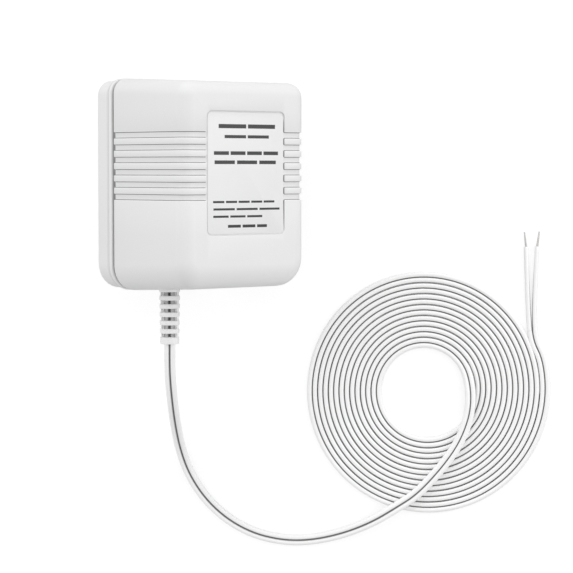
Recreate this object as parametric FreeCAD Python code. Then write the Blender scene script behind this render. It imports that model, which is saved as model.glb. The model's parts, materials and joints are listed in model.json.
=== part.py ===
import FreeCAD, Part
import math
import os
from FreeCAD import Placement, Rotation, Vector

# Plug-in doorbell transformer. Each rigid piece is drawn in the housing's own axes, x across, y up the
# wall and z out from the wall with the rear face at z = 0, and is then laid down as it comes to rest when
# unplugged: on the tip of one blade and on one rear edge, with the cord flat on the same surface.
# Lengths are in millimetres.

# Housing
housing_width = 50.0
housing_height = 64.0
housing_depth = 42.5
wall = 2.2
front_setback = 1.5
corner_top = 4.6
corner_bottom = 7.6
front_edge_top = 3.8
front_edge_side = 4.0
front_edge_bottom = 6.8

# Rear cover, its lip and the joint between the two halves
rear_setback = 0.5
rear_edge = 1.5
rear_wall_depth = 5.9
lip_slope = 1.2
lip_width = 1.5
joint_gap = 1.2
rim = 1.1
tongue_reach = 2.4
tongue_clearance = 0.05

# Grip ribs and label recess
groove_count = 6
groove_width = 1.85
rib_width = 1.84
groove_top = 15.76
groove_depth = 0.6
label_width = 29.6
label_height = 36.8
label_middle = 3.5
label_corner = 1.8
label_margin = 0.4
label_thickness = 0.25

# Plug blades
blade_spacing = 12.7
blade_width = 6.35
blade_thickness = 1.5
blade_length = 16.5
blade_middle = 4.0
blade_tip_slope = 1.2
blade_tip_step = 0.4
blade_hole = 3.1
blade_hole_from_tip = 4.7
blade_slot_clearance = 0.05
shoulder_width = 9.0
shoulder_depth = 1.5
blade_tail_width = 3.0
blade_tail_length = 1.7

# Transformer: core, bobbin and windings, with the coil's axis across the housing
core_height = 48.0
core_leg = 8.0
core_window = 24.0
core_middle = 1.0
core_post = 5.0
bobbin_clearance = 0.15
bobbin_wall = 0.8
bobbin_flange = 1.2
bobbin_end_clearance = 0.2
flange_window_clearance = 0.2
winding_window_clearance = 0.55
winding_side_clearance = 0.1
tape = 0.3
tape_margin = 0.25
pin_diameter = 0.8
pin_seat = 3.0
pin_reach = 3.5
pin_rows = (1.7, 5.7)
fuse_diameter = 2.4
fuse_length = 8.0
fuse_lead_diameter = 0.5
fuse_lead_length = 4.0
fuse_room = 3.6
sheet_thickness = 0.4
sheet_margin = 1.0
sheet_gap = 0.5
inner_wire = 1.2
inner_wire_bend = 1.0
inner_wire_spacing = 1.8
primary_lead_rise = 3.0
secondary_lead_rise = 2.4

# Strain relief
relief_across = -1.2
relief_depth = 5.9
relief_length = 17.4
relief_root_radius = 3.25
relief_end_radius = 2.95
relief_neck_radius = 2.85
relief_flange_radius = 3.6
relief_flange = 1.5
relief_notch_clearance = 0.05
relief_groove = 0.3
window_count = 6
window_first = 1.25
window_pitch = 2.57
window_height = 1.2
window_web = 0.35
window_floor = 0.4
bore_clearance = 0.05

# Flat twin cord, its coil and its split end
cord_width = 3.4
cord_thickness = 1.7
coil_pitch = 3.45
coil_start_radius = 13.4
coil_turns = 7
coil_end_angle = 18.0
coil_centre = Vector(79.0, -15.8, 0)
# Points of the lead, across and along from the end of the strain relief, with the height above the surface.
# The first two keep the height of the strain relief.
lead_straight = 9.4
lead_route = (
    (0.3, -18.3, 18.0),
    (0.4, -26.6, 11.0),
    (1.1, -35.0, 4.5),
    (3.6, -43.5, 1.4),
    (8.8, -51.5, 1.05),
    (15.8, -57.9, 1.05),
    (24.1, -62.3, 1.05),
    (32.4, -64.2, 1.05),
    (39.1, -64.5, 1.05),
    (46.3, -63.6, 1.05),
    (54.5, -61.3, 1.6),
    (62.8, -57.6, 2.95),
    (69.9, -53.2, 2.75),
    (75.9, -48.7, 2.75),
    (83.0, -40.7, 2.75),
    (87.8, -33.9, 2.75),
    (90.5, -28.6, 2.75),
    (92.8, -23.1, 2.75),
    (93.8, -17.3, 2.75),
)
tail_run = 6.7
tail_end_run = 5.5
split_run = 7.6
split_reach = 22.0
split_spread_a = -1.5
split_spread_b = 0.4
bare_diameter = 0.9
bare_length = 4.7
arc_share = 0.45

# Values that follow from the sizes above
lip_end = rear_wall_depth + lip_slope + lip_width
shell_start = lip_end + joint_gap
tongue_end = shell_start + tongue_reach
half_width = housing_width / 2
half_height = housing_height / 2
half_cord = cord_thickness / 2
bobbin_back = wall + shoulder_depth + blade_tail_length + sheet_gap + sheet_thickness
bobbin_front = housing_depth - wall - fuse_room
flange_depth = bobbin_front - bobbin_back
winding_build = core_leg - bobbin_clearance - bobbin_wall - tape - winding_window_clearance
flange_overhang = bobbin_clearance + bobbin_wall + winding_build + tape + tape_margin
core_stack = flange_depth - 2 * flange_overhang
core_depth = bobbin_back + flange_depth / 2
core_back = core_depth - core_stack / 2
core_front = core_depth + core_stack / 2
core_width = core_window + 2 * core_leg
centre_leg = core_height - 4 * core_leg
tube_height = centre_leg + 2 * bobbin_clearance + 2 * bobbin_wall
tube_depth = core_stack + 2 * bobbin_clearance + 2 * bobbin_wall
flange_height = centre_leg + 2 * core_leg - 2 * flange_window_clearance
bobbin_half = core_window / 2 - bobbin_end_clearance
wound_depth = tube_depth / 2 + winding_build + tape

# How it lies: the angle between the rear face and the surface, with one blade's tip and one rear edge down
tip_across = blade_spacing / 2 + blade_thickness / 2 - blade_tip_step
edge_across = half_width - rear_setback - rear_edge - tip_across
edge_out = blade_length + rear_edge
lean = math.acos(rear_edge / math.hypot(edge_out, edge_across)) - math.atan2(edge_across, edge_out)
lift = (half_width - rear_setback - rear_edge) * math.sin(lean) - rear_edge * math.cos(lean) + rear_edge
laid_down = Placement(Vector(0, 0, lift), Rotation(Vector(0, 1, 0), math.degrees(lean)))


# Drawing helpers

def box(x_range, y_range, z_range):
    """A block between two limits along each axis."""
    size = [high - low for low, high in (x_range, y_range, z_range)]
    return Part.makeBox(*size, Vector(x_range[0], y_range[0], z_range[0]))


def centred_box(centre, size):
    """A block with its middle at a point."""
    ranges = [(c - s / 2, c + s / 2) for c, s in zip(centre, size)]
    return box(*ranges)


def corner_arc(centre, radius, start_degrees):
    """A quarter circle in a plane across z, from one direction to the next a quarter turn on."""
    points = []
    for degrees in (start_degrees, start_degrees + 45, start_degrees + 90):
        turn = math.radians(degrees)
        points.append(centre + Vector(radius * math.cos(turn), radius * math.sin(turn), 0))
    return Part.Arc(*points).toShape()


def outline(across, up, radius_top, radius_bottom, z):
    """A rounded rectangle about the z axis, with its own radii at the top and the bottom corners."""
    low = Vector(across - radius_bottom, -up + radius_bottom, z)
    high = Vector(across - radius_top, up - radius_top, z)
    edges = [
        Part.LineSegment(Vector(-low.x, -up, z), Vector(low.x, -up, z)).toShape(),
        corner_arc(low, radius_bottom, -90),
        Part.LineSegment(Vector(across, low.y, z), Vector(across, high.y, z)).toShape(),
        corner_arc(high, radius_top, 0),
        Part.LineSegment(Vector(high.x, up, z), Vector(-high.x, up, z)).toShape(),
        corner_arc(Vector(-high.x, high.y, z), radius_top, 90),
        Part.LineSegment(Vector(-across, high.y, z), Vector(-across, low.y, z)).toShape(),
        corner_arc(Vector(-low.x, low.y, z), radius_bottom, 180),
    ]
    return Part.Wire(edges)


def housing_outline(inset, z):
    """The housing's outline at the joint, moved inwards by an inset."""
    return outline(half_width - inset, half_height - inset, corner_top - inset, corner_bottom - inset, z)


def prism(wire, depth):
    """A solid drawn out along z from a flat outline."""
    return Part.Face(wire).extrude(Vector(0, 0, depth))


def rounded_plate(centre, width, height, radius, z_range):
    """A plate across z with equal corners."""
    plate = prism(outline(width / 2, height / 2, radius, radius, z_range[0]), z_range[1] - z_range[0])
    plate.translate(Vector(centre[0], centre[1], 0))
    return plate


def tangent_path(points, radius_of):
    """Straight runs joined by tangent arcs, and the radii of the arcs."""
    edges = []
    radii = []
    start = points[0]
    for before, corner, after in zip(points, points[1:], points[2:]):
        back = (before - corner).normalize()
        on = (after - corner).normalize()
        half_turn = (math.pi - back.getAngle(on)) / 2
        radius = radius_of(before.distanceToPoint(corner), corner.distanceToPoint(after), half_turn)
        reach = radius * math.tan(half_turn)
        into = corner + back * reach
        out_of = corner + on * reach
        inwards = (back + on).normalize()
        middle = corner + inwards * (radius / math.cos(half_turn) - radius)
        edges.append(Part.LineSegment(start, into).toShape())
        edges.append(Part.Arc(into, middle, out_of).toShape())
        radii.append(radius)
        start = out_of
    edges.append(Part.LineSegment(start, points[-1]).toShape())
    return Part.Wire(edges), radii


def cord_radius(run_before, run_after, half_turn):
    """The largest arc that the two runs of a loose cord leave room for."""
    return arc_share * min(run_before, run_after) / math.tan(half_turn)


def swept(section, path):
    """A flat outline carried along a path of straight runs and arcs, piece by piece."""
    face = Part.Face(section)
    stretches = []
    for edge in path.OrderedEdges:
        first = edge.valueAt(edge.FirstParameter)
        last = edge.valueAt(edge.LastParameter)
        if isinstance(edge.Curve, Part.Circle):
            turn = math.degrees(edge.LastParameter - edge.FirstParameter)
            stretches.append(face.revolve(edge.Curve.Center, edge.Curve.Axis, turn))
            face = face.copy()
            face.rotate(edge.Curve.Center, edge.Curve.Axis, turn)
        else:
            stretches.append(face.extrude(last - first))
            face = face.copy()
            face.translate(last - first)
    return stretches[0].fuse(stretches[1:]).removeSplitter()


def path_start(path):
    """Where a path starts and which way it heads there."""
    first = path.OrderedEdges[0]
    return first.valueAt(first.FirstParameter), first.tangentAt(first.FirstParameter)


def round_tube(path, diameter):
    """A round wire along a path."""
    start, heading = path_start(path)
    return swept(Part.Wire(Part.Circle(start, heading, diameter / 2).toShape()), path)


def cord_section(place, clearance=0.0):
    """The flat cord's outline about a middle, with the directions of its width and its thickness."""
    middle, wide, thick = place
    half_thick = half_cord + clearance
    half_flat = (cord_width - cord_thickness) / 2
    left = middle - wide * half_flat
    right = middle + wide * half_flat
    up = thick * half_thick
    out = wide * half_thick
    edges = [
        Part.LineSegment(left - up, right - up).toShape(),
        Part.Arc(right - up, right + out, right + up).toShape(),
        Part.LineSegment(right + up, left + up).toShape(),
        Part.Arc(left + up, left - out, left - up).toShape(),
    ]
    return Part.Wire(edges)


def flat_tube(path):
    """The flat cord along a path that starts level, with its wide faces up and down."""
    start, heading = path_start(path)
    level = Vector(0, 0, 1)
    return swept(cord_section((start, heading.cross(level).normalize(), level)), path)


# Housing

def rounded_wedge(back, front, z_range, radius_top, radius_bottom):
    """A block that tapers along z, from half sizes at the back to those at the front, with round corners."""
    wedge = Part.makeWedge(
        -back[0], z_range[0], -back[1], -front[1], -front[0],
        back[0], z_range[1], back[1], front[1], front[0],
    )
    wedge.rotate(Vector(), Vector(1, 0, 0), 90)
    for end, radius in ((1, radius_top), (-1, radius_bottom)):
        corners = [edge for edge in wedge.Edges if is_corner(edge, end, min(back[1], front[1]))]
        wedge = wedge.makeFillet(radius, corners)
    return wedge


def is_corner(edge, end, half_size):
    """Whether an edge runs from back to front at the top, end 1, or the bottom, end -1."""
    first, last = (vertex.Point for vertex in edge.Vertexes)
    return abs(first.z - last.z) > 0.1 and min(end * first.y, end * last.y) > half_size - 0.1


def shell_block(inset):
    """The front half's tapered block, moved inwards by an inset, with unequal rounds on its front edges."""
    front = housing_depth - inset
    across = half_width - inset
    up = half_height - inset
    block = rounded_wedge(
        (across, up),
        (across - front_setback, up - front_setback),
        (shell_start, front),
        corner_top - inset,
        corner_bottom - inset,
    )
    rounds = []
    for number, edge in enumerate(block.Edges, 1):
        if all(abs(vertex.Z - front) < 1e-6 for vertex in edge.Vertexes):
            rounds.append((number, *edge_rounds(edge, inset)))
    document = FreeCAD.newDocument()
    base = document.addObject("Part::Feature", "base")
    base.Shape = block
    rounded = document.addObject("Part::Fillet", "rounded")
    rounded.Base = base
    rounded.Edges = rounds
    document.recompute()
    shape = rounded.Shape.copy()
    FreeCAD.closeDocument(document.Name)
    return shape


def edge_rounds(edge, inset):
    """The radius at each end of a front edge: it changes along the corners, from the side's to the end's."""
    side = front_edge_side - inset
    end = (front_edge_top if edge.CenterOfMass.y > 0 else front_edge_bottom) - inset
    first = edge.valueAt(edge.FirstParameter)
    last = edge.valueAt(edge.LastParameter)
    if abs(first.x - last.x) < 1e-6:
        return side, side
    if abs(first.y - last.y) < 1e-6:
        return end, end
    if abs(first.x) > abs(last.x):
        return side, end
    return end, side


def label_prism(margin, z_range):
    """The label's outline with a margin taken off, drawn out along z."""
    return rounded_plate(
        (0, label_middle),
        label_width - 2 * margin,
        label_height - 2 * margin,
        label_corner - margin,
        z_range,
    )


def core_posts(z_range):
    """Four posts at the core's corners."""
    posts = []
    for side in (-1, 1):
        for end in (-1, 1):
            across = side * (core_width - core_post) / 2
            height = core_middle + end * (core_height - core_post) / 2
            middle = (across, height, sum(z_range) / 2)
            posts.append(centred_box(middle, (core_post, core_post, z_range[1] - z_range[0])))
    return posts


def relief_tab():
    """The front half's tab, which closes the strain relief's notch down to the neck."""
    half_notch = relief_neck_radius - relief_notch_clearance
    return box(
        (relief_across - half_notch, relief_across + half_notch),
        (-half_height, -half_height + rim),
        (relief_depth + relief_neck_radius + relief_notch_clearance, shell_start + rim),
    )


def make_front_shell():
    floor = shell_block(groove_depth)
    pitch = groove_width + rib_width
    cuts = [label_prism(0, (core_depth, housing_depth + wall))]
    for row in range(groove_count):
        top = groove_top - row * pitch
        cuts.append(box((-half_width, half_width), (top - groove_width, top), (0, housing_depth + wall)))
    skin = shell_block(0).cut(cuts).fuse(floor)
    cavity = shell_block(wall)
    rebate = prism(housing_outline(rim, shell_start), tongue_reach)
    posts = Part.Compound(core_posts((core_front, housing_depth))).common(shell_block(wall / 2))
    return skin.cut([cavity, rebate]).fuse([posts, relief_tab()]).removeSplitter()


def make_rear_cover():
    back_size = (half_width - rear_setback, half_height - rear_setback)
    base = prism(outline(*back_size, corner_top, corner_bottom, 0), rear_wall_depth)
    rear_edges = [e for e in base.Edges if all(abs(v.Z) < 1e-6 for v in e.Vertexes)]
    base = base.makeFillet(rear_edge, rear_edges)
    slope_end = rear_wall_depth + lip_slope
    lip_size = (half_width, half_height)
    slope = rounded_wedge(back_size, lip_size, (rear_wall_depth, slope_end), corner_top, corner_bottom)
    lip = prism(housing_outline(0, slope_end), lip_width)
    tongue = prism(housing_outline(rim + tongue_clearance, lip_end), tongue_end - lip_end)
    cavity = prism(housing_outline(wall, wall), tongue_end)
    pad_half = relief_root_radius + relief_groove
    pad = box(
        (relief_across - pad_half, relief_across + pad_half),
        (-half_height, -half_height + wall),
        (relief_depth - pad_half, lip_end),
    )
    notch_radius = relief_neck_radius + relief_notch_clearance
    notch_low = Vector(relief_across, -half_height, relief_depth)
    notch_round = Part.makeCylinder(notch_radius, 2 * wall, notch_low, Vector(0, 1, 0))
    notch_open = box(
        (relief_across - notch_radius, relief_across + notch_radius),
        (-half_height, -half_height + 2 * wall),
        (relief_depth, tongue_end),
    )
    cuts = [notch_round, notch_open]
    for side in (-1, 1):
        slot_size = (
            blade_thickness + 2 * blade_slot_clearance,
            blade_width + 2 * blade_slot_clearance,
            4 * wall,
        )
        cuts.append(centred_box((side * blade_spacing / 2, blade_middle, 0), slot_size))
    hollow = base.fuse([slope, lip, tongue]).cut(cavity)
    return hollow.fuse([*core_posts((wall / 2, core_back)), pad]).cut(cuts).removeSplitter()


def make_rating_label():
    floor = housing_depth - groove_depth
    return label_prism(label_margin, (floor, floor + label_thickness))


# Plug blades

def make_blade(side):
    across = side * blade_spacing / 2
    half = blade_thickness / 2
    tip = half - blade_tip_step
    profile = [
        Vector(-half, 0, wall),
        Vector(-half, 0, -blade_length + blade_tip_slope),
        Vector(-tip, 0, -blade_length),
        Vector(tip, 0, -blade_length),
        Vector(half, 0, -blade_length + blade_tip_slope),
        Vector(half, 0, wall),
    ]
    sheet = Part.Face(Part.makePolygon(profile + profile[:1]))
    blade = sheet.extrude(Vector(0, blade_width, 0))
    blade.translate(Vector(across, blade_middle - blade_width / 2, 0))
    hole_start = Vector(across - blade_thickness, blade_middle, -blade_length + blade_hole_from_tip)
    hole = Part.makeCylinder(blade_hole / 2, 2 * blade_thickness, hole_start, Vector(1, 0, 0))
    shoulder = centred_box(
        (across, blade_middle, wall + shoulder_depth / 2),
        (blade_thickness, shoulder_width, shoulder_depth),
    )
    tail = centred_box(
        (across, blade_middle, wall + shoulder_depth + blade_tail_length / 2),
        (blade_thickness, blade_tail_width, blade_tail_length),
    )
    return blade.cut(hole).fuse([shoulder, tail]).removeSplitter()


# Transformer

def core_block(x_range, y_range):
    return box(x_range, (core_middle + y_range[0], core_middle + y_range[1]), (core_back, core_front))


def make_core_e_stack():
    half_window = core_window / 2
    half_core = core_height / 2
    block = core_block((-half_window - core_leg, half_window), (-half_core, half_core))
    windows = []
    for low, high in ((-half_core + core_leg, -centre_leg / 2), (centre_leg / 2, half_core - core_leg)):
        windows.append(core_block((-half_window, half_window), (low, high)))
    return block.cut(windows)


def make_core_i_stack():
    half_window = core_window / 2
    return core_block((half_window, half_window + core_leg), (-core_height / 2, core_height / 2))


def coil_ring(x_range, inner_height, inner_depth, build, corner):
    """A ring round the bobbin's tube, with rounded outer corners where it is wound."""
    centre = Vector(x_range[0], core_middle, core_depth)
    turn = Rotation(Vector(0, 1, 0), 90)
    length = x_range[1] - x_range[0]
    round_out = corner + build
    outer_wire = outline(inner_depth / 2 + build, inner_height / 2 + build, round_out, round_out, 0)
    inner = centred_box((0, 0, length / 2), (inner_depth, inner_height, 2 * length))
    if corner > 0:
        inner = prism(outline(inner_depth / 2, inner_height / 2, corner, corner, 0), length)
    ring = prism(outer_wire, length).cut(inner)
    ring.Placement = Placement(centre, turn)
    return ring


def chamber(side):
    """The limits along the coil's axis of one winding space."""
    near = bobbin_flange / 2 + winding_side_clearance
    far = bobbin_half - bobbin_flange - winding_side_clearance
    return (-far, -near) if side < 0 else (near, far)


def make_bobbin():
    middle = (0, core_middle, core_depth)
    solid = centred_box(middle, (2 * bobbin_half, tube_height, tube_depth))
    flanges = []
    for across in (-bobbin_half + bobbin_flange / 2, 0, bobbin_half - bobbin_flange / 2):
        place = (across, core_middle, core_depth)
        flanges.append(centred_box(place, (bobbin_flange, flange_height, flange_depth)))
    bore_size = (
        4 * bobbin_half,
        centre_leg + 2 * bobbin_clearance,
        core_stack + 2 * bobbin_clearance,
    )
    return solid.fuse(flanges).cut([centred_box(middle, bore_size), *pins()]).removeSplitter()


def make_winding(side):
    return coil_ring(chamber(side), tube_height, tube_depth, winding_build, 0)


def make_tape(side):
    inner_height = tube_height + 2 * winding_build
    inner_depth = tube_depth + 2 * winding_build
    return coil_ring(chamber(side), inner_height, inner_depth, tape, winding_build)


def pin_place(side, row):
    """Where a pin's outer end is. The primary's pins point up and the secondary's down."""
    across = side * (bobbin_half - bobbin_flange / 2)
    height = core_middle - side * (flange_height / 2 + pin_reach)
    return Vector(across, height, bobbin_back + pin_rows[row])


def pins():
    """Four pins, two in each end flange."""
    made = []
    for side in (-1, 1):
        for row in (0, 1):
            place = pin_place(side, row)
            heading = Vector(0, side, 0)
            made.append(Part.makeCylinder(pin_diameter / 2, pin_reach + pin_seat, place, heading))
    return made


def make_thermal_fuse():
    across = sum(chamber(-1)) / 2
    depth = core_depth + wound_depth + fuse_diameter / 2
    up = Vector(0, 1, 0)
    body_low = Vector(across, core_middle - fuse_length / 2, depth)
    body = Part.makeCylinder(fuse_diameter / 2, fuse_length, body_low, up)
    lead_low = body_low - up * fuse_lead_length
    lead = Part.makeCylinder(fuse_lead_diameter / 2, fuse_length + 2 * fuse_lead_length, lead_low, up)
    return body.fuse(lead).removeSplitter()


def make_insulation_sheet():
    size = (2 * bobbin_half + 2 * sheet_margin, flange_height - 2 * sheet_margin, sheet_thickness)
    return centred_box((0, core_middle, bobbin_back - sheet_thickness / 2), size)


def inner_lead(points):
    """An insulated wire inside the housing."""
    path, _ = tangent_path(points, lambda before, after, half_turn: inner_wire_bend)
    return round_tube(path, inner_wire)


def make_primary_lead(side, row):
    tail_top = blade_middle + blade_tail_width / 2
    tail_depth = wall + shoulder_depth + blade_tail_length / 2
    across = side * blade_spacing / 2
    end = pin_place(-1, row)
    above = end.y + primary_lead_rise + inner_wire_spacing * row
    points = [
        Vector(across, tail_top, tail_depth),
        Vector(across, above - inner_wire, tail_depth),
        Vector(end.x, above, end.z),
        end,
    ]
    return inner_lead(points)


def make_secondary_lead(side, row):
    start_height = -half_height + wall + relief_flange
    apart = side * half_cord
    start = Vector(
        relief_across + apart * math.cos(lean),
        start_height,
        relief_depth + apart * math.sin(lean),
    )
    end = pin_place(1, row)
    turn_height = start_height + secondary_lead_rise + inner_wire_spacing * row
    points = [
        start,
        Vector(start.x, turn_height, start.z),
        Vector(end.x, turn_height + inner_wire, end.z),
        end,
    ]
    return inner_lead(points)


# Strain relief and cord

def relief_radius(along):
    """The sleeve's outer radius at a distance from the housing."""
    return relief_root_radius + (relief_end_radius - relief_root_radius) * along / relief_length


def make_strain_relief(axis_place):
    """The sleeve about a line along -y, with windows down to both faces of the flat cord."""
    root = -half_height
    inside = root + wall
    profile = [(0, inside + relief_flange), (relief_flange_radius, inside + relief_flange)]
    profile += [(relief_flange_radius, inside), (relief_neck_radius, inside), (relief_neck_radius, root)]
    profile.append((relief_radius(0), root))
    for row in range(window_count):
        top = window_first + row * window_pitch
        low = top + window_height
        profile += [
            (relief_radius(top), root - top),
            (relief_radius(top) - relief_groove, root - top),
            (relief_radius(low) - relief_groove, root - low),
            (relief_radius(low), root - low),
        ]
    profile += [(relief_radius(relief_length), root - relief_length), (0, root - relief_length)]
    points = [Vector(radius, height, 0) for radius, height in profile]
    section = Part.Face(Part.makePolygon(points + points[:1]))
    sleeve = section.revolve(Vector(0, 0, 0), Vector(0, 1, 0), 360)
    cuts = []
    for row in range(window_count):
        top = window_first + row * window_pitch
        middle = top + window_height / 2
        half_window = relief_radius(middle) - relief_groove - window_web
        for z_range in ((-relief_root_radius, -window_floor), (window_floor, relief_root_radius)):
            cuts.append(box((-half_window, half_window), (root - top - window_height, root - top), z_range))
    bore_start = Vector(0, inside + 2 * relief_flange, 0)
    bore_face = Part.Face(cord_section((bore_start, Vector(1, 0, 0), Vector(0, 0, 1)), bore_clearance))
    cuts.append(bore_face.extrude(Vector(0, -2 * relief_length, 0)))
    sleeve = sleeve.cut(cuts)
    sleeve.translate(axis_place)
    return sleeve


def make_cord_root(exit_place):
    """The straight stretch of cord inside the strain relief."""
    start = exit_place + Vector(0, relief_length + wall + relief_flange, 0)
    face = Part.Face(cord_section((start, Vector(1, 0, 0), Vector(0, 0, 1))))
    return face.extrude(exit_place - start)


def make_cord_lead(exit_place):
    points = [exit_place, exit_place + Vector(0, -lead_straight, 0)]
    for across, along, height in lead_route:
        points.append(Vector(exit_place.x + across, exit_place.y + along, height))
    path, radii = tangent_path(points, cord_radius)
    tube = flat_tube(path)
    section = Part.Face(cord_section((Vector(), Vector(1, 0, 0), Vector(0, 0, 1)))).Area
    print("lead radii", [round(radius, 1) for radius in radii])
    share = tube.Volume / path.Length / section
    print("lead length", round(path.Length, 1), "volume share", round(share, 3))
    return tube


def spiral_turn(centre, start_radius, degrees):
    """One turn of the coil's edge: two half circles, closed by the step to the next turn."""
    turn = math.radians(degrees)
    outwards = Vector(math.cos(turn), math.sin(turn), 0)
    along = Vector(-outwards.y, outwards.x, 0)
    near = centre + outwards * start_radius
    far = centre - outwards * (start_radius + coil_pitch / 2)
    last = centre + outwards * (start_radius + coil_pitch)
    first_middle = (near + far) * 0.5 + along * (start_radius + coil_pitch / 4)
    second_middle = (far + last) * 0.5 - along * (start_radius + coil_pitch * 3 / 4)
    edges = [
        Part.Arc(near, first_middle, far).toShape(),
        Part.Arc(far, second_middle, last).toShape(),
        Part.LineSegment(last, near).toShape(),
    ]
    return Part.Wire(edges)


def coil_end_radius():
    """The radius of the cord's middle where it leaves the coil."""
    return coil_start_radius + coil_pitch * (coil_turns + coil_end_angle / 360)


def make_cord_coil(centre):
    inner = spiral_turn(centre, coil_start_radius - coil_pitch / 2, 0)
    outer = spiral_turn(centre, coil_end_radius() - coil_pitch / 2, coil_end_angle)
    ring = Part.Face(outer).cut(Part.Face(inner))
    return ring.extrude(Vector(0, 0, cord_thickness))


def tail_points(centre):
    """The cord's middle from the coil's outer step to the split."""
    turn = math.radians(coil_end_angle)
    outwards = Vector(math.cos(turn), math.sin(turn), 0)
    start = centre + outwards * coil_end_radius() + Vector(0, 0, half_cord)
    bend = start + Vector(-outwards.y, outwards.x, 0) * tail_run
    return [start, bend, bend + Vector(0, tail_end_run, 0)]


def make_cord_tail(centre):
    path, radii = tangent_path(tail_points(centre), cord_radius)
    print("tail radii", [round(radius, 1) for radius in radii])
    return flat_tube(path)


def split_points(centre, side, spread):
    """The middle of one split wire, from the split to the end of its insulation."""
    split = tail_points(centre)[-1] + Vector(side * half_cord, 0, 0)
    bend = split + Vector(0, split_run, 0)
    return [split, bend, split + Vector(spread, split_reach, 0)]


def make_wire_end(centre, side, spread):
    path, _ = tangent_path(split_points(centre, side, spread), cord_radius)
    return round_tube(path, cord_thickness)


def make_wire_tip(centre, side, spread):
    _, bend, end = split_points(centre, side, spread)
    return Part.makeCylinder(bare_diameter / 2, bare_length, end, end - bend)


# Assembly

def build():
    """All pieces by name, laid down and about the middle of the housing's footprint."""
    upright = {
        "front_shell": make_front_shell(),
        "rear_cover": make_rear_cover(),
        "rating_label": make_rating_label(),
        "blade_line": make_blade(-1),
        "blade_neutral": make_blade(1),
        "core_e_stack": make_core_e_stack(),
        "core_i_stack": make_core_i_stack(),
        "bobbin": make_bobbin(),
        "primary_winding": make_winding(-1),
        "secondary_winding": make_winding(1),
        "primary_tape": make_tape(-1),
        "secondary_tape": make_tape(1),
        "terminal_pins": Part.Compound(pins()),
        "thermal_fuse": make_thermal_fuse(),
        "primary_lead_line": make_primary_lead(-1, 0),
        "primary_lead_neutral": make_primary_lead(1, 1),
        "secondary_lead_a": make_secondary_lead(-1, 1),
        "secondary_lead_b": make_secondary_lead(1, 0),
        "insulation_sheet": make_insulation_sheet(),
    }
    pieces = {}
    for name, shape in upright.items():
        laid = shape.copy()
        laid.Placement = laid_down.multiply(laid.Placement)
        pieces[name] = laid
    axis_place = laid_down.multVec(Vector(relief_across, 0, relief_depth))
    pieces["strain_relief"] = make_strain_relief(axis_place)

    exit_place = axis_place + Vector(0, -half_height - relief_length, 0)
    centre = Vector(exit_place.x, exit_place.y, 0) + coil_centre
    around = Part.Compound(list(pieces.values())).optimalBoundingBox(False, False)
    pieces["cord_root"] = make_cord_root(exit_place)
    pieces["cord_lead"] = make_cord_lead(exit_place)
    pieces["cord_coil"] = make_cord_coil(centre)
    pieces["cord_tail"] = make_cord_tail(centre)
    for side, letter, spread in ((-1, "a", split_spread_a), (1, "b", split_spread_b)):
        pieces["wire_end_" + letter] = make_wire_end(centre, side, spread)
        pieces["wire_tip_" + letter] = make_wire_tip(centre, side, spread)

    to_origin = Vector(-around.Center.x, -around.Center.y, 0)
    for shape in pieces.values():
        shape.translate(to_origin)
    print("lean", round(math.degrees(lean), 2), "exit", exit_place + to_origin, "coil", centre + to_origin)
    return pieces


os.makedirs("parts", exist_ok=True)
for name, shape in build().items():
    shape.exportStep("parts/" + name + ".step")
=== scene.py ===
import json
import math
from contextlib import contextmanager

import bmesh
import bpy
from mathutils import Matrix, Vector


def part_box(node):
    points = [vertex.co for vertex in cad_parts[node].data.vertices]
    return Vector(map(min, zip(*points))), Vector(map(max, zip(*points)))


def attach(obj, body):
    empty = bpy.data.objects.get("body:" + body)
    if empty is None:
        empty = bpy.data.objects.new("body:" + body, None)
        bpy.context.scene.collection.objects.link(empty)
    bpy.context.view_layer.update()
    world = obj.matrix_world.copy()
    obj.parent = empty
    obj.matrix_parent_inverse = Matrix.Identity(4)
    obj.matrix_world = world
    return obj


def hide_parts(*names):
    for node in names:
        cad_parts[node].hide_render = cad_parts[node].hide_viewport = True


# A plug-in doorbell transformer that lies unplugged on a pale table, with its cord coiled beside it.
# Lengths are in metres, unless a comment says otherwise. The housing is modelled in its own axes, x across,
# y along its height and z out from its rear face at z = 0, and each finished piece is then laid down where
# the housing lies.

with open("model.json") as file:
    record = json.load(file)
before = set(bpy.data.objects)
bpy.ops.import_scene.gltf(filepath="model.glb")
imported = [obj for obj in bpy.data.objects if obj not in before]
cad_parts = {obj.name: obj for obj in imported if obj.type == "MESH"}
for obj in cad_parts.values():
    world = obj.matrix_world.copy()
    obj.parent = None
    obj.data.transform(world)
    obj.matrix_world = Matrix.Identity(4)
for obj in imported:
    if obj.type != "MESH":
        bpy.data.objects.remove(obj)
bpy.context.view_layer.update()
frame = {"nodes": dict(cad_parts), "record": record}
nodes = frame["nodes"]
mm = 0.001
x_axis = Vector((1, 0, 0))
y_axis = Vector((0, 1, 0))
z_axis = Vector((0, 0, 1))

# Housing
half_width = 25.0 * mm
half_height = 32.0 * mm
housing_depth = 42.5 * mm
wall = 2.2 * mm
front_setback = 1.5 * mm
corner_top = 4.6 * mm
corner_bottom = 7.6 * mm
front_edge_top = 3.8 * mm
front_edge_side = 4.0 * mm
front_edge_bottom = 6.8 * mm
block_margin = 3.0 * mm
cut_margin = 1.0 * mm

# Rounds, and how near or how steep counts when faces, edges and points are picked
round_steps = 8
small_round_steps = 6
soft_steps = 2
soft_edge = 0.3 * mm
soft_degrees = 50
rod_sides = 48
facing = 0.9
sideways = 0.5
hair = 0.01 * mm
corner_reach = 0.05 * mm
merge_reach = 0.002 * mm
hollow_degrees = 28
smooth_degrees = 35

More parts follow.
